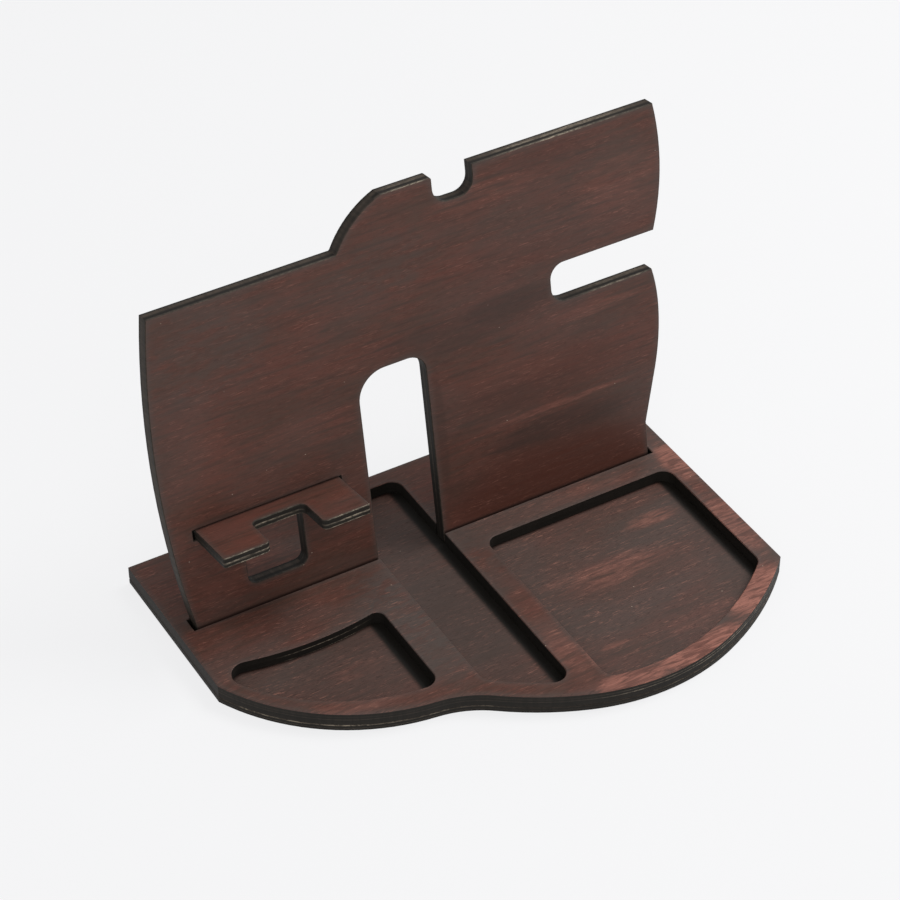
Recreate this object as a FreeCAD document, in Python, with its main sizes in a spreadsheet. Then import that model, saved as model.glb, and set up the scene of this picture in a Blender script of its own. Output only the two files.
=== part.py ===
import FreeCAD, Part
import Sketcher

import math
import os

# Valet docking station cut from plywood: a two-layer base with three sunk trays, a
# leaning back panel whose legs stand in slots of the base, and a phone shelf that is
# pushed through the panel.
#
# Millimetres. The origin is under the middle of the stand, on the surface it rests on.
# X runs to the right along the back panel, Y to the back and Z up.

doc = FreeCAD.newDocument("ValetStand")
sheet = doc.addObject("Spreadsheet::Sheet", "Sizes")

# Driving sizes. Places are measured from the foot line, where the panel's front face
# meets the top of the base: across from the outer edge of the left leg, then back from
# the line for the base, or up the leaning face for the panel.
sizes = {
    "foot_x": -141.9,
    "foot_y": 45.4,
    "thick_ply": 7.8,
    "floor_ply": 3.7,
    "shelf_ply": 5.7,
    "lean_angle": 10.0,
    "arris": 0.4,
    # outline of the base
    "left_margin": 10.2,
    "base_width": 298.6,
    "back_margin": 59.6,
    "left_lobe_x": 93.0,
    "left_lobe_y": 5.1,
    "left_lobe_radius": 114.0,
    "right_lobe_x": 189.9,
    "right_lobe_y": -33.4,
    "right_lobe_radius": 117.0,
    "right_lobe_crown": 42.0,
    "flank_radius": 167.0,
    "dip_radius": 56.0,
    # trays, through the upper layer
    "front_rim": 10.4,
    "side_rim": 11.3,
    "tray_corner": 7.0,
    "pocket_wall": 15.5,
    "wallet_tray_ahead": 16.3,
    "pocket_behind": 50.3,
    "coin_tray_right": 87.2,
    "coin_tray_ahead_left": 28.9,
    "coin_tray_ahead_right": 34.7,
    "coin_tray_sag_radius": 180.0,
    "coin_tray_bow_x": 88.7,
    "coin_tray_bow_y": 7.4,
    "coin_tray_bow_radius": 104.4,
    "coin_tray_nose": 8.9,
    "coin_tray_corner": 4.8,
    # legs of the panel and the slots they stand in
    "left_leg": 106.4,
    "arch_width": 39.5,
    "right_margin": 12.9,
    "slot_play": 0.1,
    "slot_end_gap": 2.0,
    "seat_gap": 0.02,
    # outline of the panel
    "left_side_radius": 526.0,
    "left_top_x": -1.2,
    "bump_start": 102.8,
    "bump_rise": 24.6,
    "bump_radius": 55.0,
    "bump_foot_corner": 1.0,
    "bump_end": 130.5,
    "panel_top": 204.0,
    "pen_notch_left": 159.8,
    "pen_notch_width": 23.2,
    "pen_notch_depth": 15.4,
    "pen_notch_corner": 8.5,
    "pen_notch_lip": 1.5,
    "upper_wing_tip": 15.8,
    "upper_wing_radius": 148.0,
    "upper_wing_foot": 11.9,
    "watch_slot_bottom": 110.1,
    "watch_slot_height": 22.3,
    "watch_slot_depth": 52.3,
    "watch_slot_corner": 8.5,
    "lower_wing_tip": 9.5,
    "lower_wing_high_radius": 98.0,
    "lower_wing_widest": 12.4,
    "lower_wing_middle": 86.3,
    "lower_wing_low_radius": 147.0,
    "flare_width": 8.1,
    "flare_top": 51.0,
    "flare_bottom": 19.5,
    "arch_top": 108.9,
    "arch_left_corner": 16.0,
    "arch_right_corner": 10.0,
    # phone shelf, and its slot and cable hole in the panel
    "shelf_top": 56.3,
    "shelf_left": 6.8,
    "shelf_width": 82.9,
    "shelf_reach": 33.2,
    "shelf_corner": 1.2,
    "shelf_end_gap": 1.0,
    "cable_notch_left": 33.1,
    "cable_notch_width": 29.9,
    "cable_notch_back": 10.6,
    "cable_notch_inner": 3.8,
    "cable_notch_outer": 3.0,
    "cable_hole_left": 32.2,
    "cable_hole_width": 34.2,
    "cable_hole_bottom": 12.8,
    "cable_hole_corner": 5.2,
}
for row, (alias, value) in enumerate(sizes.items(), start=1):
    sheet.set("A%d" % row, alias)
    sheet.set("B%d" % row, str(value))
    sheet.setAlias("B%d" % row, alias)
doc.recompute()


def bound(text):
    """Expression on the sheet, from one written with bare size names."""
    words = []
    word = ""
    for letter in text + " ":
        if letter.isalnum() or letter in "_.":
            word += letter
        else:
            words.append("Sizes." + word if word in sizes else word)
            words.append(letter)
            word = ""
    return "".join(words).strip()


def number(text):
    """Value of such an expression."""
    value = sheet.evalExpression(bound(text))
    return float(getattr(value, "Value", value))


def dimension(sketch, kind, references, text):
    """Dimension in a sketch, driven by an expression."""
    index = sketch.addConstraint(Sketcher.Constraint(kind, *references, number(text)))
    sketch.setExpression("Constraints[%d]" % index, bound(text))


def new_body(label):
    body = doc.addObject("PartDesign::Body", label)
    body.Label = label
    return body


def new_sketch(body, name):
    """Sketch on the body's own XY plane."""
    sketch = body.newObject("Sketcher::SketchObject", name)
    for feature in body.Origin.OriginFeatures:
        if feature.Role == "XY_Plane":
            sketch.AttachmentSupport = (feature, [""])
    sketch.MapMode = "FlatFace"
    return sketch


def arc_centre(start, end, radius, turn):
    """Centre of the short arc of that radius, left of travel for turn 1, right for -1."""
    half = (end - start) * 0.5
    rise = math.sqrt(radius ** 2 - half.Length ** 2)
    return start + half + FreeCAD.Vector(-half.y, half.x, 0) * (turn * rise / half.Length)


def draw_loop(sketch, corners, bends):
    """Closed loop of straight lines and arcs through the corners.

    A corner is its x and y expressions, and a third item names the coordinates that it
    is dimensioned by: "xy" if left out, "x", or "" where its neighbours fix it.
    bends maps the number of the corner that an arc leaves to its radius and its turn,
    and to its centre's x and y where the arc is dimensioned by its centre.
    """
    points = [FreeCAD.Vector(number(corner[0]), number(corner[1]), 0) for corner in corners]
    starts = []
    ends = []
    for index, start in enumerate(points):
        end = points[(index + 1) % len(points)]
        if index in bends:
            turn = bends[index][1]
            radius = number(bends[index][0])
            centre = arc_centre(start, end, radius, turn)
            angles = [math.atan2(point.y - centre.y, point.x - centre.x) for point in (start, end)]
            circle = Part.Circle(centre, FreeCAD.Vector(0, 0, 1), radius)
            sketch.addGeometry(Part.ArcOfCircle(circle, *angles[::turn]))
            starts.append(1 if turn > 0 else 2)
            ends.append(2 if turn > 0 else 1)
        else:
            sketch.addGeometry(Part.LineSegment(start, end))
            starts.append(1)
            ends.append(2)
    for index in range(len(points)):
        after = (index + 1) % len(points)
        sketch.addConstraint(
            Sketcher.Constraint("Coincident", index, ends[index], after, starts[after]))
    for index, corner in enumerate(corners):
        fixed = corner[2] if len(corner) > 2 else "xy"
        if "x" in fixed:
            dimension(sketch, "DistanceX", (-1, 1, index, starts[index]), corner[0])
        if "y" in fixed:
            dimension(sketch, "DistanceY", (-1, 1, index, starts[index]), corner[1])
    for index, bend in bends.items():
        dimension(sketch, "Radius", (index,), bend[0])
        if len(bend) > 2:
            dimension(sketch, "DistanceX", (-1, 1, index, 3), bend[2])
            dimension(sketch, "DistanceY", (-1, 1, index, 3), bend[3])


def pad(body, sketch, name, length, downward=False):
    feature = body.newObject("PartDesign::Pad", name)
    feature.Profile = sketch
    feature.Reversed = downward
    feature.setExpression("Length", bound(length))
    doc.recompute()


def cut_through(body, sketch, name):
    """Pocket right through the body, turned round if it took nothing away."""
    smallest_cut = 1.0
    most = body.Tip.Shape.Volume - smallest_cut
    feature = body.newObject("PartDesign::Pocket", name)
    feature.Profile = sketch
    feature.Type = "ThroughAll"
    doc.recompute()
    if feature.Shape.isNull() or feature.Shape.Volume > most:
        feature.Reversed = True
        doc.recompute()
    if feature.Shape.isNull() or feature.Shape.Volume > most:
        raise RuntimeError("%s cuts nothing" % name)


def upright_edges(body):
    """Name and place of each edge square to the body's XY plane."""
    same_place = 0.001
    found = []
    for index, edge in enumerate(body.Tip.Shape.Edges, start=1):
        ends = [vertex.Point for vertex in edge.Vertexes]
        if len(ends) == 2 and math.hypot(ends[0].x - ends[1].x, ends[0].y - ends[1].y) < same_place:
            found.append(("Edge%d" % index, ends[0].x, ends[0].y))
    return found


def round_corners(body, name, radius, corners):
    """Fillet of the upright edges nearest to the corners."""
    close_by = 0.5
    edges = upright_edges(body)
    chosen = []
    for corner in corners:
        x = number(corner[0])
        y = number(corner[1])
        nearest = min(edges, key=lambda edge: math.hypot(edge[1] - x, edge[2] - y))
        if math.hypot(nearest[1] - x, nearest[2] - y) > close_by:
            raise RuntimeError("%s has no edge at a corner" % name)
        chosen.append(nearest[0])
    base = body.Tip
    feature = body.newObject("PartDesign::Fillet", name)
    feature.Base = (base, chosen)
    feature.setExpression("Radius", bound(radius))
    doc.recompute()


def break_arrises(body, sides):
    """Light chamfer along the edges of the flat faces whose normals are in sides."""
    base = body.Tip
    chosen = []
    for index, face in enumerate(base.Shape.Faces, start=1):
        if face.Surface.TypeId == "Part::GeomPlane" and round(face.normalAt(0, 0).z) in sides:
            chosen.append("Face%d" % index)
    feature = body.newObject("PartDesign::Chamfer", body.Label + "_arrises")
    feature.Base = (base, chosen)
    feature.setExpression("Size", bound("arris"))
    doc.recompute()


# The front of the right lobe: a crown between two flatter flanks, all tangent. The
# trays behind it follow the same arcs, drawn in by their rim.
base_left = "-left_margin"
base_right = "(base_width - left_margin)"
crown_rise = "sqrt(right_lobe_radius^2 - right_lobe_crown^2)"
flank_growth = "(flank_radius / right_lobe_radius - 1)"


def lobe_arcs(inset):
    """Centre, radius and right end of each arc of the lobe's front, from the left."""
    share = "(1 - %s / right_lobe_radius)" % inset
    flank = "(flank_radius - %s)" % inset
    flank_y = "(right_lobe_y + %s * %s)" % (crown_rise, flank_growth)
    flank_off = "right_lobe_crown * %s" % flank_growth
    return [
        ("(right_lobe_x + %s)" % flank_off, flank_y, flank,
         "(right_lobe_x - right_lobe_crown * %s)" % share),
        ("right_lobe_x", "right_lobe_y", "(right_lobe_radius - %s)" % inset,
         "(right_lobe_x + right_lobe_crown * %s)" % share),
        ("(right_lobe_x - %s)" % flank_off, flank_y, flank, base_right),
    ]


def lobe_front(left, right, inset):
    """Corners and arcs along that front between two places across."""
    corners = []
    arcs = []
    start = left
    for centre_x, centre_y, radius, end in lobe_arcs(inset):
        if number(start) < min(number(end), number(right)):
            front = "%s - sqrt(%s^2 - (%s - %s)^2)"
            end = min(end, right, key=number)
            corners.append((start, front % (centre_y, radius, start, centre_x)))
            arcs.append((radius, 1, centre_x, centre_y))
            last = (end, front % (centre_y, radius, end, centre_x))
            start = end
    return corners + [last], arcs


def lobes_meet():
    """Where the circle of the left lobe crosses the right lobe's left flank."""
    flank = lobe_arcs("0")[0]
    left = FreeCAD.Vector(number("left_lobe_x"), number("left_lobe_y"), 0)
    right = FreeCAD.Vector(number(flank[0]), number(flank[1]), 0)
    across = right - left
    gap = across.Length
    across.normalize()
    left_radius = number("left_lobe_radius")
    along = (left_radius ** 2 - number(flank[2]) ** 2 + gap ** 2) / (2 * gap)
    off = math.sqrt(left_radius ** 2 - along ** 2)
    return left + across * along + FreeCAD.Vector(across.y, -across.x, 0) * off


def base_layer(label, thickness, height):
    """One layer of the base: straight back and sides, two lobes in front and a dip between."""
    body = new_body(label)
    sketch = new_sketch(body, label + "_outline")
    meet = lobes_meet()
    dip = (repr(meet.x), repr(meet.y), "")
    side_end = "left_lobe_y - sqrt(left_lobe_radius^2 - (%s - left_lobe_x)^2)" % base_left
    front, arcs = lobe_front(dip[0], base_right, "0")
    corners = [(base_left, "back_margin"), (base_left, side_end, "x"), dip]
    corners.append(front[1] + ("x",))
    corners += front[2:]
    corners.append((base_right, "back_margin"))
    bends = {1: ("left_lobe_radius", 1, "left_lobe_x", "left_lobe_y"), 2: arcs[0]}
    for index, arc in enumerate(arcs[1:], start=3):
        bends[index] = arc[:2]
    draw_loop(sketch, corners, bends)
    pad(body, sketch, label + "_pad", thickness)
    round_corners(body, label + "_dip", "dip_radius", [dip])
    body.setExpression("Placement.Base.x", bound("foot_x"))
    body.setExpression("Placement.Base.y", bound("foot_y"))
    body.setExpression("Placement.Base.z", bound(height))
    return body


base_bottom_plate = base_layer("base_bottom_plate", "floor_ply", "0")
base_top_plate = base_layer("base_top_plate", "thick_ply", "floor_ply")


def lobed_tray(name, left, right, back):
    """Tray with straight sides and back, and a front that keeps the lobe's rim."""
    front, arcs = lobe_front(left, right, "front_rim")
    sketch = new_sketch(base_top_plate, name + "_outline")
    bends = {}
    for index, arc in enumerate(arcs, start=1):
        bends[index] = arc[:2]
    draw_loop(sketch, [(left, back)] + front + [(right, back)], bends)
    cut_through(base_top_plate, sketch, name)
    return [(left, back), front[0], front[-1], (right, back)]


# Trays: what the upper layer leaves open, floored by the lower layer. The centre pocket
# is in line with the inner edges of the panel's legs.
arch_right = "(left_leg + arch_width)"
wallet_right = "(%s - side_rim)" % base_right
wallet_left = "(%s + pocket_wall)" % arch_right
wallet_corners = lobed_tray("wallet_tray", wallet_left, wallet_right, "-wallet_tray_ahead")
pocket_corners = lobed_tray("centre_pocket", "left_leg", arch_right, "pocket_behind")
round_corners(
    base_top_plate, "tray_corners", "tray_corner", wallet_corners + pocket_corners)

# The coin tray has a sagging back edge and a bowed front, and comes to a nose at the left.
coin_nose_x = (
    "coin_tray_bow_x - sqrt(coin_tray_bow_radius^2"
    " - (-coin_tray_ahead_left - coin_tray_bow_y)^2)")
coin_front_y = (
    "coin_tray_bow_y - sqrt(coin_tray_bow_radius^2"
    " - (coin_tray_right - coin_tray_bow_x)^2)")
coin_corners = [
    (coin_nose_x, "-coin_tray_ahead_left"),
    ("coin_tray_right", coin_front_y),
    ("coin_tray_right", "-coin_tray_ahead_right"),
]
coin_outline = new_sketch(base_top_plate, "coin_tray_outline")
draw_loop(coin_outline, coin_corners, {
    0: ("coin_tray_bow_radius", 1),
    2: ("coin_tray_sag_radius", -1),
})
cut_through(base_top_plate, coin_outline, "coin_tray")
for name, radius, corner in (
        ("coin_tray_nose_round", "coin_tray_nose", coin_corners[0]),
        ("coin_tray_front_corner", "tray_corner", coin_corners[1]),
        ("coin_tray_back_corner", "coin_tray_corner", coin_corners[2])):
    round_corners(base_top_plate, name, radius, [corner])

# Leg slots: upright walls, just wide enough for a leg that stands in them at the lean.
# They open into the centre pocket.
leg_depth = "((thick_ply - seat_gap) / cos(lean_angle) - thick_ply * tan(lean_angle))"
slot_front = "(-%s * sin(lean_angle) - slot_play)" % leg_depth
slot_back = "(thick_ply / cos(lean_angle) + slot_play)"
pocket_middle = "(left_leg + arch_width / 2)"
panel_right = "(%s - right_margin)" % base_right
for name, left, right in (
        ("left_leg_slot", "-slot_end_gap", pocket_middle),
        ("right_leg_slot", pocket_middle, panel_right + " + slot_end_gap")):
    slot_outline = new_sketch(base_top_plate, name + "_outline")
    draw_loop(slot_outline, [
        (left, slot_back), (left, slot_front), (right, slot_front), (right, slot_back)], {})
    cut_through(base_top_plate, slot_outline, name)
break_arrises(base_bottom_plate, (1, -1))
break_arrises(base_top_plate, (1, -1))

# Back panel, drawn on its front face. The legs go down until the back corner of their
# feet is on the lower layer.
back_panel = new_body("back_panel")
leg_end = "-" + leg_depth
notch_bottom = "panel_top - pen_notch_depth"
notch_right = "pen_notch_left + pen_notch_width"
watch_slot_top = "watch_slot_bottom + watch_slot_height"
arch_corners = [("left_leg", "arch_top"), (arch_right, "arch_top")]
notch_corners = [(notch_right, notch_bottom), ("pen_notch_left", notch_bottom)]
notch_lip = ("pen_notch_left", "panel_top")
left_top = "panel_top - bump_rise"
watch_slot_end = panel_right + " - watch_slot_depth"
watch_corners = [(watch_slot_end, "watch_slot_bottom"), (watch_slot_end, watch_slot_top)]
lower_edge = [
    ("0", "0"),
    ("0", leg_end),
    ("left_leg", leg_end),
    arch_corners[0],
    arch_corners[1],
    (arch_right, leg_end),
    (panel_right, leg_end),
]
right_edge = [
    (panel_right, "flare_bottom"),
    (panel_right + " + flare_width", "flare_top"),
    (panel_right + " + lower_wing_widest", "lower_wing_middle"),
    (panel_right + " + lower_wing_tip", "watch_slot_bottom"),
    watch_corners[0],
    watch_corners[1],
    (panel_right + " + upper_wing_foot", watch_slot_top),
]
upper_edge = [
    (panel_right + " + upper_wing_tip", "panel_top"),
    (notch_right, "panel_top"),
    notch_corners[0],
    notch_corners[1],
    notch_lip,
    ("bump_end", "panel_top"),
    ("bump_start", left_top),
    ("left_top_x", left_top),
]
panel_corners = lower_edge + right_edge + upper_edge
panel_outline = new_sketch(back_panel, "panel_outline")
draw_loop(panel_outline, panel_corners, {
    panel_corners.index(right_edge[1]): ("lower_wing_low_radius", 1),
    panel_corners.index(right_edge[2]): ("lower_wing_high_radius", 1),
    panel_corners.index(right_edge[6]): ("upper_wing_radius", 1),
    panel_corners.index(upper_edge[5]): ("bump_radius", 1),
    panel_corners.index(upper_edge[7]): ("left_side_radius", 1),
})
pad(back_panel, panel_outline, "panel_pad", "thick_ply", downward=True)

# The shelf's slot, and the cable hole that runs down from it.
shelf_right = "(shelf_left + shelf_width)"
hole_right = "(cable_hole_left + cable_hole_width)"
slot_top = "shelf_top + slot_play"
slot_bottom = "shelf_top - shelf_ply - slot_play"
hole_corners = [("cable_hole_left", "cable_hole_bottom"), (hole_right, "cable_hole_bottom")]
shelf_slot_outline = new_sketch(back_panel, "shelf_slot_outline")
draw_loop(shelf_slot_outline, [
    ("shelf_left - shelf_end_gap", slot_top),
    ("shelf_left - shelf_end_gap", slot_bottom),
    ("cable_hole_left", slot_bottom),
    hole_corners[0],
    hole_corners[1],
    (hole_right, slot_bottom),
    (shelf_right + " + shelf_end_gap", slot_bottom),
    (shelf_right + " + shelf_end_gap", slot_top),
], {})
cut_through(back_panel, shelf_slot_outline, "shelf_slot")
for name, radius, corners in (
        ("arch_left_round", "arch_left_corner", arch_corners[:1]),
        ("arch_right_round", "arch_right_corner", arch_corners[1:]),
        ("pen_notch_rounds", "pen_notch_corner", notch_corners),
        ("pen_notch_lip_round", "pen_notch_lip", [notch_lip]),
        ("bump_foot_round", "bump_foot_corner", [("bump_start", left_top)]),
        ("watch_slot_rounds", "watch_slot_corner", watch_corners),
        ("cable_hole_rounds", "cable_hole_corner", hole_corners)):
    round_corners(back_panel, name, radius, corners)
break_arrises(back_panel, (1, -1))

# Phone shelf, drawn on its top face, with Y into the panel. It stands out at a right
# angle to the panel, and its tail ends at the panel's back.
phone_shelf = new_body("phone_shelf")
shelf_front = "-shelf_reach"
cable_notch_right = "(cable_notch_left + cable_notch_width)"
inner_corners = [
    ("cable_notch_left", "-cable_notch_back"),
    (cable_notch_right, "-cable_notch_back"),
]
outer_corners = [("cable_notch_left", shelf_front), (cable_notch_right, shelf_front)]
tip_corners = [("shelf_left", shelf_front), (shelf_right, shelf_front)]
shelf_outline = new_sketch(phone_shelf, "shelf_outline")
draw_loop(shelf_outline, [
    ("shelf_left", "thick_ply"),
    tip_corners[0],
    outer_corners[0],
    inner_corners[0],
    inner_corners[1],
    outer_corners[1],
    tip_corners[1],
    (shelf_right, "thick_ply"),
], {})
pad(phone_shelf, shelf_outline, "shelf_pad", "shelf_ply", downward=True)
for name, radius, corners in (
        ("cable_notch_inner_rounds", "cable_notch_inner", inner_corners),
        ("cable_notch_outer_rounds", "cable_notch_outer", outer_corners),
        ("tip_rounds", "shelf_corner", tip_corners)):
    round_corners(phone_shelf, name, radius, corners)
break_arrises(phone_shelf, (1, -1))


def stand_up(body, turn, up):
    """Turn a body about X and set it that far up the panel's leaning face."""
    body.Placement.Rotation = FreeCAD.Rotation(FreeCAD.Vector(1, 0, 0), number(turn))
    body.setExpression("Placement.Rotation.Angle", bound(turn))
    body.setExpression("Placement.Base.x", bound("foot_x"))
    body.setExpression("Placement.Base.y", bound("foot_y + %s * sin(lean_angle)" % up))
    body.setExpression(
        "Placement.Base.z", bound("floor_ply + thick_ply + %s * cos(lean_angle)" % up))


stand_up(back_panel, "90 - lean_angle", "0")
stand_up(phone_shelf, "-lean_angle", "shelf_top")
doc.recompute()

for item in doc.Objects:
    if "Invalid" in item.State or "Error" in item.State:
        raise RuntimeError("%s: %s" % (item.Name, item.State))
bodies = (base_bottom_plate, base_top_plate, back_panel, phone_shelf)
for body in bodies:
    if body.Shape.isNull() or not body.Shape.isValid() or len(body.Shape.Solids) != 1:
        raise RuntimeError("%s is not one valid solid" % body.Label)

os.makedirs("parts", exist_ok=True)
for body in bodies:
    body.Shape.exportStep("parts/%s.step" % body.Label)
    print("%-18s %8.0f mm3" % (body.Label, body.Shape.Volume))
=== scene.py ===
from math import cos, radians, sin

import bpy
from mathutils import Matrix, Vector

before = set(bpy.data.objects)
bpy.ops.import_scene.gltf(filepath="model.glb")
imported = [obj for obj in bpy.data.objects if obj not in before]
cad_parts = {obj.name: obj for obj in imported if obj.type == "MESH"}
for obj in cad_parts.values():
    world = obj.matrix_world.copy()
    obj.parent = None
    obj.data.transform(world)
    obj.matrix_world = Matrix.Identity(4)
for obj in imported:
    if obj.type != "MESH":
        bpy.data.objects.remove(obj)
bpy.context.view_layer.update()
print("stand loaded:", ", ".join(sorted(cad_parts)))

mm = 0.001
lean = radians(10)
# foot line: where the panel's front face meets the top of the base, at its left leg
foot = Vector((-141.9, 45.4, 11.5))


def linearColour(hexText):
    # sRGB hex to the linear colour that a shader takes
    channels = [int(hexText[i:i + 2], 16) / 255 for i in (1, 3, 5)]
    return [c / 12.92 if c <= 0.04045 else ((c + 0.055) / 1.055) ** 2.4 for c in channels] + [1]


def addNode(tree, kind, inputs, output=0, **settings):
    # adds one shader node with its own settings and its inputs (values, or sockets to
    # link) and gives the output that is asked for
    node = tree.nodes.new(kind)
    for name, value in settings.items():
        setattr(node, name, value)
    for name, value in inputs.items():
        if isinstance(value, bpy.types.NodeSocket):
            tree.links.new(value, node.inputs[name])
        else:
            node.inputs[name].default_value = value
    return node.outputs[output]


def grainFields(tree, place, sizes, seed):
    # noise fields by name, from their grain in mm along, across and out of the sheet,
    # and their detail, roughness and distortion
    fields = {}
    for number, (name, (grain, detail, roughness, distortion)) in enumerate(sizes.items()):
        stretched = addNode(tree, "ShaderNodeMapping", {
            "Vector": place,
            "Location": (seed + 3.7 * number, seed - 2.3 * number, 1.9 * number),
            "Scale": [1 / length for length in grain]})
        fields[name] = addNode(tree, "ShaderNodeTexNoise", {
            "Vector": stretched, "Scale": 1.0, "Detail": detail, "Roughness": roughness,
            "Distortion": distortion}, "Fac")
    return fields


def spotField(tree, place, spots):
    # one soft spot for each (x, y, half length, half width, strength), in mm on the sheet:
    # full out to about a third of its size, gone at its rim
    field = 0.0
    for x, y, halfLength, halfWidth, strength in spots:
        centred = addNode(tree, "ShaderNodeMapping", {
            "Vector": place, "Location": (-x / halfLength, -y / halfWidth, 0),
            "Scale": (1 / halfLength, 1 / halfWidth, 0)})
        away = addNode(tree, "ShaderNodeVectorMath", {0: centred}, "Value", operation="LENGTH")
        spot = addNode(tree, "ShaderNodeMapRange", {
            "Value": away, "From Min": 0.35, "From Max": 1.0, "To Min": strength, "To Max": 0.0},
            interpolation_type="SMOOTHSTEP")
        field = addNode(tree, "ShaderNodeMath", {0: field, 1: spot}, operation="MAXIMUM")
    return field


def paintedOver(tree, fields, ground, coats):
    # the ground colour under coats, each with masks (field, from, to, least, most) that
    # are multiplied together
    colour = linearColour(ground)
    for tint, masks in coats:
        amount = 1.0
        for name, low, high, least, most in masks:
            shown = addNode(tree, "ShaderNodeMapRange", {
                "Value": fields[name], "From Min": low, "From Max": high, "To Min": least,
                "To Max": most}, interpolation_type="SMOOTHSTEP")
            amount = addNode(tree, "ShaderNodeMath", {0: amount, 1: shown}, operation="MULTIPLY")
        colour = addNode(tree, "ShaderNodeMix", {
            0: amount, 6: colour, 7: linearColour(tint)}, 2, data_type="RGBA")
    return colour


def sheetPlace(tree, sheet):
    # millimetres in the sheet's own axes: x along the grain, y across it, z out of its face
    coordinates = addNode(tree, "ShaderNodeTexCoord", {}, "Object")
    return addNode(tree, "ShaderNodeMapping", {
        "Vector": coordinates, "Location": [length * mm for length in sheet["corner"]],
        "Rotation": (radians(sheet["tilt"]), 0, 0), "Scale": (mm, mm, mm)},
        vector_type="TEXTURE")


# Mahogany stain wiped on hardwood plywood, under a thin satin oil.
stain = {
    "umber": "#4e372e",      # where it lies thick
    "deep": "#2f201b",       # lines along the grain that drank more of it
    "mahogany": "#64392f",   # the even red-brown tone between
    "slate": "#4d433e",      # grey cast where it dried on the surface
    "stainBandsAndShade": "#3b2b25",     # dark bands that took most of the stain, and painted shade on the pocket floor and by the wallet tray's right wall
    "ruddyStainAndShade": "#4e2b21",      # redder streaks, and a darker red low on the panel at its right, painted shade beside the base with no grey cast over it
    "wiped": "#986456",      # where it was wiped or rubbed thin
    "fibre": "#b47c6a",      # fibres that took little of it
    "pore": "#221713",       # open pores, filled with it
    "cornerShade": "#2a1b16",   # painted shade, in corners closed in by other parts
    "rightWallShadow": "#1a1713",     # painted shadow: a near-black band beside the right-hand walls of the trays
    "speck": "#c9b9a4",      # tiny flecks of bare wood
}
# satin oil that has sunk into open pores mirrors less than a film of varnish
oil = {"ior": 1.36, "smoothest": 0.44, "roughest": 0.58, "reliefMm": 0.07}
# pores and fibres are about 0.25 mm wide; they are drawn 0.45 mm wide, so that they show
veneerGrain = {
    "clouds": ((64, 24, 24), 3, 0.5, 0.5),
    "drift": ((90, 46, 40), 2, 0.5, 0.3),
    "mottle": ((13, 4.5, 8), 3, 0.6, 0.8),
    "streaks": ((34, 2.0, 30), 4, 0.62, 0.2),
    "fibres": ((5.0, 0.45, 6), 2, 0.6, 0.5),
    "bundles": ((16, 2.4, 9), 3, 0.6, 0.8),
    "pores": ((3.2, 0.42, 6), 2, 0.6, 0.0),
}
# how much each field has to say in where the stain turns red-brown
toneShares = {"clouds": 0.42, "mottle": 0.22, "streaks": 0.36, "wiped": 0.10}
# mm over which the stain greys towards a cut edge, and over which painted shade darkens a corner
cutReach = 4.5
faceCornerShadeReach = 2.8
# mm from one fleck to the next, along, across and out of the sheet
speckGaps = (11, 8, 8)


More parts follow.
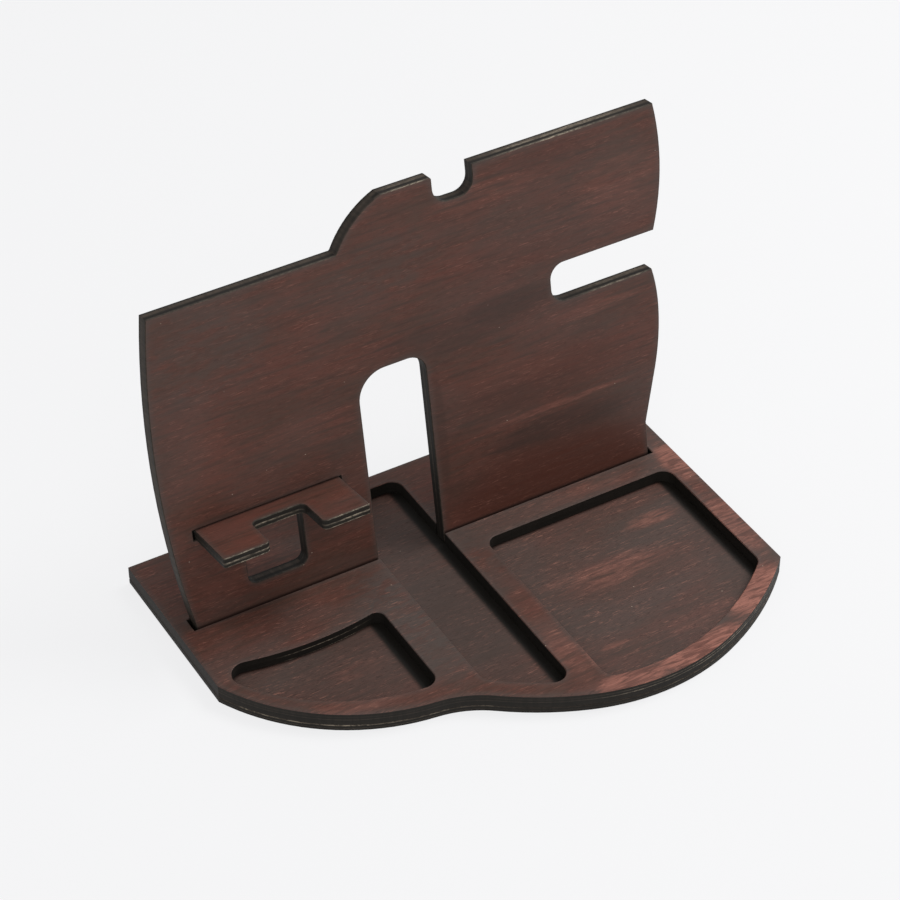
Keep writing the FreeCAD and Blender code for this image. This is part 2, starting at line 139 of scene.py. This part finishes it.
def stainedFace(name, sheet):
    # Stained veneer: soft cloudy patches, streaks and short dark pores along the grain,
    # thin red fibres, and a redder, lighter wood where the stain was wiped thin
    material = bpy.data.materials.new(name)
    material.use_nodes = True
    tree = material.node_tree
    shader = tree.nodes["Principled BSDF"]
    place = sheetPlace(tree, sheet)
    fields = grainFields(tree, place, veneerGrain, sheet["seed"])
    fields["wiped"] = spotField(tree, place, sheet["wiped"])
    for spots in ("greyed", "stainBandsAndShade", "ruddyStainAndShade", "rightWallShadow"):
        fields[spots] = spotField(tree, place, sheet.get(spots, ()))
    fields["tone"] = 0.0
    for part, share in toneShares.items():
        fields["tone"] = addNode(tree, "ShaderNodeMath", {
            0: fields[part], 1: share, 2: fields["tone"]}, operation="MULTIPLY_ADD")
    # seen from inside the sheet, the faces near a cut edge are the closed-in ones; seen from
    # outside, the faces closed in by other parts are the corners that get painted shade
    for closed, reach, inside in (("cut", cutReach, True), ("corner", faceCornerShadeReach, False)):
        fields[closed] = addNode(
            tree, "ShaderNodeAmbientOcclusion", {"Distance": reach * mm}, "AO",
            inside=inside, only_local=inside, samples=8)
    speckled = addNode(tree, "ShaderNodeMapping", {
        "Vector": place, "Location": (sheet["seed"], 2, 0),
        "Scale": [1 / gap for gap in speckGaps]})
    fields["specks"] = addNode(tree, "ShaderNodeTexVoronoi", {
        "Vector": speckled, "Scale": 1.0}, "Distance")
    colour = paintedOver(tree, fields, stain["umber"], (
        (stain["mahogany"], (("tone", 0.40, 0.62, 0, sheet["red"]),)),
        (stain["ruddyStainAndShade"], (("bundles", 0.42, 0.62, 0, 0.4), ("wiped", 0, 1, 1, 0.2))),
        (stain["deep"], (("streaks", 0.32, 0.48, 0.34, 0),)),
        (stain["slate"], (("drift", 0.42, 0.62, 0, sheet["grey"]), ("wiped", 0, 1, 1, 0.2))),
        (stain["slate"], (("greyed", 0, 1, 0, 1), ("mottle", 0.42, 0.60, 1, 0.3))),
        (stain["ruddyStainAndShade"], (("ruddyStainAndShade", 0, 1, 0, 1), ("streaks", 0.35, 0.65, 1, 0.75))),
        (stain["stainBandsAndShade"], (("stainBandsAndShade", 0, 1, 0, 1), ("streaks", 0.30, 0.60, 1, 0.7))),
        (stain["slate"], (("cut", 0.50, 1.0, 0.6, 0), ("wiped", 0, 1, 1, 0.1))),
        (stain["wiped"], (("wiped", 0, 1, 0, 1), ("bundles", 0.38, 0.58, 0.2, 1),
                          ("streaks", 0.36, 0.56, 0.6, 1))),
        (stain["fibre"], (("fibres", 0.53, 0.66, 0, sheet["grain"]),
                          ("bundles", 0.44, 0.64, 0.1, 1), ("tone", 0.42, 0.62, 0.35, 1),
                          ("stainBandsAndShade", 0, 1, 1, 0.4))),
        (stain["pore"], (("pores", 0.54, 0.66, 0, sheet["grain"]),
                         ("streaks", 0.40, 0.58, 0.3, 1))),
        # painted shade: darker where other parts close the face in
        (stain["cornerShade"], (("corner", 0.50, 0.85, 0.95, 0),)),
        # painted shadow beside the right-hand walls of the trays
        (stain["rightWallShadow"], (("rightWallShadow", 0, 1, 0, 1),)),
        (stain["speck"], (("specks", 0.02, 0.035, 0.7, 0), ("mottle", 0.5, 0.52, 0, 1))),
    ))
    tree.links.new(colour, shader.inputs["Base Color"])
    sheen = addNode(tree, "ShaderNodeMapRange", {
        "Value": fields["streaks"], "From Min": 0.3, "From Max": 0.7,
        "To Min": oil["smoothest"], "To Max": oil["roughest"]})
    tree.links.new(sheen, shader.inputs["Roughness"])
    shader.inputs["IOR"].default_value = oil["ior"]
    relief = addNode(tree, "ShaderNodeMath", {
        0: fields["pores"], 1: -1.0, 2: fields["streaks"]}, operation="MULTIPLY_ADD")
    bump = addNode(tree, "ShaderNodeBump", {
        "Height": relief, "Strength": 0.4, "Distance": oil["reliefMm"] * mm})
    tree.links.new(bump, shader.inputs["Normal"])
    return material


# Edge as the laser leaves it: charred, with the plies and glue lines of the sheet.
char = {
    "stainedPly": "#4a4139",   # plies that the laser hardly charred, under the stain
    "scorched": "#2f2a24",     # scorch marks down the cut
    "soot": "#1c1a17",         # char, almost black; also the colour of the painted shade in corners
    "barePly": "#a99c89",      # plies rubbed bare again
}
# char is porous carbon: it mirrors next to nothing
charred = {"ior": 1.25, "roughness": 0.62, "reliefMm": 0.1}
# mm that the glue lines wander up and down, and over which painted shade in the soot colour darkens
# a corner
wander = 0.9
edgeCornerShadeReach = 4
edgeGrain = {
    "wander": ((26, 26, 4), 2, 0.5, 0.0),
    "worn": ((32, 32, 3.2), 4, 0.66, 0.5),
    "flecks": ((2.6, 2.6, 0.5), 3, 0.7, 0.6),
    "scorch": ((2.1, 2.1, 18), 3, 0.6, 0.2),
}


def burntEdge(name, sheet, edge):
    # Laser-cut plywood: charred almost black, plies as thin lines, soft scorch marks down
    # the cut, and flecks of bare wood where the char has rubbed off
    material = bpy.data.materials.new(name)
    material.use_nodes = True
    tree = material.node_tree
    shader = tree.nodes["Principled BSDF"]
    place = sheetPlace(tree, sheet)
    fields = grainFields(tree, place, edgeGrain, sheet["seed"])
    fields["rubbed"] = spotField(tree, place, edge["rubbed"])
    depth = addNode(tree, "ShaderNodeSeparateXYZ", {0: place}, "Z")
    wandering = addNode(tree, "ShaderNodeMath", {0: fields["wander"], 1: wander, 2: depth},
                        operation="MULTIPLY_ADD")
    # the noise has its middle at 0.5, so half of the wander is taken off again
    share = addNode(tree, "ShaderNodeMapRange", {
        "Value": wandering, "From Min": wander / 2, "From Max": wander / 2 - sheet["thick"]})
    # the ramp carries two fields through the thickness: soot in red, bare wood in green
    plies = addNode(tree, "ShaderNodeValToRGB", {"Fac": share})
    ramp = plies.node.color_ramp
    for number, (position, soot, bare) in enumerate(edge["plies"]):
        stop = ramp.elements[number] if number < 2 else ramp.elements.new(position)
        stop.position = position
        stop.color = (soot, bare, 0, 1)
    fields["soot"] = addNode(tree, "ShaderNodeSeparateColor", {0: plies}, "Red")
    fields["bare"] = fields["soot"].node.outputs["Green"]
    fields["corner"] = addNode(
        tree, "ShaderNodeAmbientOcclusion", {"Distance": edgeCornerShadeReach * mm}, "AO", samples=8)
    colour = paintedOver(tree, fields, char["stainedPly"], (
        (char["scorched"], (("scorch", 0.40, 0.62, 0, 0.6),)),
        (char["soot"], (("soot", 0, 1, 0, 1), ("worn", 0.35, 0.60, 1, 0.92))),
        (char["barePly"], (("bare", 0, 1, 0, 1), ("rubbed", 0, 1, 0, 1),
                           ("worn", 0.42, 0.58, 0.3, 1), ("flecks", 0.42, 0.58, 0.15, 1))),
        # painted shade: corners of the cut edges, such as tray walls by the floor and the slots,
        # darkened to the soot colour
        (char["soot"], (("corner", 0.2, 0.75, 0.9, 0),)),
    ))
    tree.links.new(colour, shader.inputs["Base Color"])
    shader.inputs["Roughness"].default_value = charred["roughness"]
    shader.inputs["IOR"].default_value = charred["ior"]
    relief = addNode(tree, "ShaderNodeMath", {
        0: fields["scorch"], 1: 0.7, 2: fields["bare"]}, operation="MULTIPLY_ADD")
    bump = addNode(tree, "ShaderNodeBump", {
        "Height": relief, "Strength": 0.4, "Distance": charred["reliefMm"] * mm})
    tree.links.new(bump, shader.inputs["Normal"])
    return material


# cosines above which a polygon counts as face, arris or level top edge
turned = {"face": 0.95, "arris": 0.2, "upper": 0.9}


def finishPiece(nodeName, sheet):
    # the stained face in the first slot, then one slot for each edge: arris (where a face
    # is broken), inner (walls that look at one another), upper (level top edges), outer
    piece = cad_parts[nodeName]
    tilt = radians(sheet["tilt"])
    faceNormal = Vector((0, -sin(tilt), cos(tilt)))
    upward = Vector((0, cos(tilt), sin(tilt)))
    piece.data.materials.clear()
    piece.data.materials.append(stainedFace("mahoganyStainedVeneer." + nodeName, sheet))
    slots = {}
    for kind, edge in sheet["edges"].items():
        slots[kind] = len(piece.data.materials)
        piece.data.materials.append(burntEdge(kind + "BurntEdge." + nodeName, sheet, edge))
    for polygon in piece.data.polygons:
        facing = abs(polygon.normal.dot(faceNormal))
        start = polygon.center + polygon.normal * 0.2 * mm
        if facing > turned["face"]:
            polygon.material_index = 0
        elif facing > turned["arris"]:
            polygon.material_index = slots.get("arris", 0)
        elif "upper" in slots and polygon.normal.dot(upward) > turned["upper"]:
            polygon.material_index = slots["upper"]
        elif "inner" in slots and piece.ray_cast(start, polygon.normal)[0]:
            polygon.material_index = slots["inner"]
        else:
            polygon.material_index = slots["outer"]
    print("finished", nodeName)


# Each sheet: its corner on the foot line in mm, its tilt in degrees and its thickness, how
# red, grey and grainy it is, its spots by kind, and for each edge the plies (place through
# the thickness, soot, bare wood) and where they are rubbed.

# Lower layer of the base: the floors of the trays, and the thin edge below the joint.
lowerLayer = {
    "corner": (foot.x, foot.y, 3.7), "tilt": 0, "thick": 3.7, "seed": 3.1,
    "red": 0.75, "grey": 0.55, "grain": 0.52,
    "wiped": ((214, -64, 44, 16, 0.4), (252, -40, 24, 8, 0.45), (180, -58, 18, 5, 0.25),
              (182, -112, 14, 3, 0.4), (236, -118, 40, 12, 0.2), (60, -62, 26, 8, 0.25)),
    # the pocket floor, and the wallet floor by its right wall, are darkened here as painted shade
    "stainBandsAndShade": ((126, -40, 24, 110, 0.7), (60, -60, 60, 40, 0.5), (270, -80, 22, 60, 0.4),
               (180, -62, 24, 50, 0.2)),
    # painted shadow: a near-black band beside the right-hand wall of each tray
    "rightWallShadow": ((85, -70, 6.6, 300, 1.0), (144.3, -50, 6.6, 300, 1.0), (275.4, -60, 6.0, 300, 0.9)),
    "edges": {
        "arris": {"plies": ((0, 0.3, 1), (0.3, 0.9, 0)),
                  "rubbed": ((40, -90, 100, 90, 1.0), (230, -130, 90, 60, 0.6))},
        "outer": {"plies": ((0, 0.5, 0.8), (0.15, 0.85, 0), (0.45, 0.8, 0), (0.52, 0.6, 0.7),
                            (0.60, 0.85, 0), (0.9, 0.8, 0), (1, 0.7, 0)),
                  "rubbed": ((40, -90, 90, 90, 0.6), (220, -130, 110, 60, 0.5))},
    },
}
finishPiece("base_bottom_plate", lowerLayer)

# Upper layer of the base: the rims, most worn at the right front.
upperLayer = {
    "corner": tuple(foot), "tilt": 0, "thick": 7.8, "seed": 11.7,
    "red": 0.75, "grey": 0.55, "grain": 0.42,
    "wiped": ((262, -122, 34, 26, 1.0), (215, -143, 44, 14, 1.0), (172, -145, 30, 14, 0.8),
              (283, -70, 14, 40, 0.5), (284, -14, 12, 24, 0.75), (154, -75, 13, 60, 0.15),
              (153, -110, 12, 30, 0.35), (170, -120, 16, 24, 0.6), (230, -10, 40, 7, 0.25),
              (34, -90, 70, 12, 0.32), (50, 28, 34, 20, 0.25)),
    "greyed": ((98, -50, 34, 70, 0.8), (150, -20, 20, 50, 0.5)),
    "stainBandsAndShade": ((90, -20, 30, 24, 0.3), (152, -40, 20, 60, 0.4)),
    "edges": {
        "inner": {"plies": ((0, 0.93, 0), (0.42, 0.93, 0), (0.47, 0.88, 1), (0.53, 0.93, 0),
                            (0.9, 0.93, 0), (0.96, 0.85, 1)),
                  "rubbed": ((55, -42, 40, 14, 0.8),)},
        "outer": {"plies": ((0, 0.6, 0.5), (0.10, 0.82, 0), (0.24, 0.8, 0), (0.28, 0.6, 0.8),
                            (0.34, 0.82, 0), (0.46, 0.82, 0), (0.50, 0.4, 1), (0.56, 0.88, 0),
                            (0.9, 0.78, 0), (1, 0.9, 0)),
                  "rubbed": ((220, -130, 90, 60, 0.9),)},
    },
}
finishPiece("base_top_plate", upperLayer)

# Back panel: darker and greyer towards its left, with the plies showing along its top.
backPanel = {
    "corner": tuple(foot), "tilt": 80, "thick": 7.8, "seed": 27.4,
    "red": 0.72, "grey": 0.25, "grain": 0.3,
    "wiped": ((222, 51, 66, 3.0, 0.35), (250, 100, 44, 6, 0.25), (190, 186, 44, 10, 0.2),
              (200, 80, 50, 14, 0.2), (75, 88, 44, 18, 0.15), (18, 80, 30, 60, 0.15),
              (270, 168, 40, 26, 0.25)),
    "greyed": ((25, 150, 60, 44, 0.4), (130, 165, 44, 30, 0.35)),
    "stainBandsAndShade": ((170, 115, 80, 17, 0.5), (196, 119, 50, 12, 0.7), (222, 38, 70, 12, 0.7),
               (230, 196, 40, 10, 0.4), (60, 130, 60, 24, 0.15), (155, 22, 30, 16, 0.4),
               (151, 55, 5, 66, 0.5)),
    # the first of these spots, low at the right beside the base, is painted shade as well as redder
    # stain
    "ruddyStainAndShade": ((215, 8, 90, 36, 1.0), (215, 70, 80, 24, 0.5), (50, 22, 60, 26, 0.15),
              (200, 140, 70, 22, 0.25)),
    "edges": {
        "arris": {"plies": ((0, 0.3, 0.8), (0.2, 0.5, 0.3), (0.6, 0.8, 0), (1, 0.9, 0)),
                  "rubbed": ((238, 204, 60, 8, 0.9), (145, 204, 18, 6, 0.7), (262, 110, 26, 5, 0.6),
                             (60, 179, 70, 5, 0.25))},
        "inner": {"plies": ((0, 0.9, 0), (0.3, 0.86, 0), (0.45, 0.75, 0.4), (0.50, 0.4, 1),
                            (0.56, 0.86, 0), (0.85, 0.86, 0), (1, 0.95, 0)),
                  "rubbed": ((49, 12, 20, 5, 0.3), (146, 60, 6, 70, 0.35))},
        "upper": {"plies": ((0, 0.4, 0.9), (0.10, 0.5, 0.7), (0.18, 0.9, 0), (0.36, 0.85, 0.1),
                            (0.46, 0.4, 0.8), (0.60, 0.2, 1), (0.78, 0.4, 0.8), (0.86, 0.9, 0),
                            (1, 0.9, 0)),
                  "rubbed": ((238, 204, 60, 8, 0.5), (145, 204, 18, 6, 0.3),
                             (262, 110, 34, 5, 0.35), (60, 179, 70, 5, 0.08))},
        "outer": {"plies": ((0, 0.6, 0.3), (0.3, 0.5, 0.2), (0.5, 0.3, 0.5), (0.7, 0.5, 0.2),
                            (0.92, 0.8, 0), (1, 0.9, 0)),
                  "rubbed": ((0, 100, 10, 90, 0.3),)},
    },
}
finishPiece("back_panel", backPanel)

# Phone shelf: its front arris is worn to the wood.
shelfUp = 56.3
phoneShelf = {
    "corner": (foot.x, foot.y + shelfUp * sin(lean), foot.z + shelfUp * cos(lean)),
    "tilt": -10, "thick": 5.7, "seed": 41.9,
    "red": 0.9, "grey": 0.25, "grain": 0.2,
    "wiped": ((22, -24, 20, 10, 0.12), (78, -16, 20, 12, 0.12)),
    "stainBandsAndShade": ((48, 0, 60, 6, 0.2),),
    "edges": {
        "arris": {"plies": ((0, 0.5, 1), (1, 0.5, 1)),
                  "rubbed": ((20, -33, 24, 5, 0.65), (78, -33, 24, 5, 0.8), (48, -11, 16, 4, 0.3))},
        "inner": {"plies": ((0, 0.85, 0), (1, 0.85, 0)), "rubbed": ()},
        "outer": {"plies": ((0, 0.6, 0.7), (0.12, 0.85, 0.1), (0.42, 0.85, 0), (0.52, 0.5, 1),
                            (0.64, 0.85, 0.2), (0.84, 0.85, 0), (0.92, 0.5, 1), (1, 0.5, 1)),
                  "rubbed": ((20, -33, 24, 5, 0.9), (78, -33, 24, 5, 1.0), (48, -11, 18, 4, 1.0))},
    },
}
finishPiece("phone_shelf", phoneShelf)

# Floor: a plain pale table top.
room = {"floorColour": "#ebebeb", "roughness": 0.7, "size": 40.0, "gap": 0.0002,
        "seenColour": "#f8f8f9", "evened": 0.84}
bpy.ops.mesh.primitive_plane_add(size=room["size"], location=(0, 0, -room["gap"]))
floor = bpy.context.object
floor.name = "floor"
floorMaterial = bpy.data.materials.new("paleTableTop")
floorMaterial.use_nodes = True
floorTree = floorMaterial.node_tree
floorShader = floorTree.nodes["Principled BSDF"]
floorShader.inputs["Base Color"].default_value = linearColour(room["floorColour"])
floorShader.inputs["Roughness"].default_value = room["roughness"]
# the camera sees most of the floor as an even pale tone, with a share of its shading left,
# and so do the reflections
seen = 0.0
for ray in ("Is Camera Ray", "Is Glossy Ray", "Is Transmission Ray"):
    sent = addNode(floorTree, "ShaderNodeLightPath", {}, ray)
    seen = addNode(floorTree, "ShaderNodeMath", {0: seen, 1: sent},
                   operation="ADD", use_clamp=True)
evened = addNode(floorTree, "ShaderNodeMath", {0: seen, 1: room["evened"]},
                 operation="MULTIPLY")
tone = addNode(floorTree, "ShaderNodeEmission", {
    "Color": linearColour(room["seenColour"]), "Strength": 1.0})
mixed = addNode(floorTree, "ShaderNodeMixShader", {
    0: evened, 1: floorShader.outputs["BSDF"], 2: tone})
floorTree.links.new(mixed, floorTree.nodes["Material Output"].inputs["Surface"])
floor.data.materials.append(floorMaterial)

# Light: a pale studio all round and two large soft boxes, the stronger at the right.
studio = {
    "aroundColour": "#f6f7fa",
    "around": 0.46,
    "aim": (0, 0, 0.05),
    "softBoxes": {
        "right": {"at": (1.0, -0.05, 1.35), "size": 0.8, "power": 18.0},
        "frontLeft": {"at": (-0.7, -1.3, 1.2), "size": 1.3, "power": 8.0},
    },
}
world = bpy.data.worlds.new("studio")
bpy.context.scene.world = world
world.use_nodes = True
background = world.node_tree.nodes["Background"]
background.inputs["Color"].default_value = linearColour(studio["aroundColour"])
background.inputs["Strength"].default_value = studio["around"]
for name, box in studio["softBoxes"].items():
    light = bpy.data.lights.new(name, "AREA")
    light.shape = "SQUARE"
    light.size = box["size"]
    light.energy = box["power"]
    lamp = bpy.data.objects.new(name, light)
    lamp.location = box["at"]
    towards = Vector(studio["aim"]) - lamp.location
    lamp.rotation_euler = towards.to_track_quat("-Z", "Y").to_euler()
    bpy.context.scene.collection.objects.link(lamp)

# Camera: above and to the left of the stand, with a long lens.
view = {"at": (-0.58613, -0.96307, 1.04132), "pitch": 50.2, "yaw": -30.5,
        "lens": 117.6, "sensor": 36}
cameraData = bpy.data.cameras.new("camera")
cameraData.sensor_width = view["sensor"]
cameraData.lens = view["lens"]
camera = bpy.data.objects.new("camera", cameraData)
camera.location = view["at"]
camera.rotation_euler = (radians(view["pitch"]), 0, radians(view["yaw"]))
bpy.context.scene.collection.objects.link(camera)
bpy.context.scene.camera = camera
bpy.context.scene.view_settings.view_transform = "Standard"
print("floor, light and camera set")
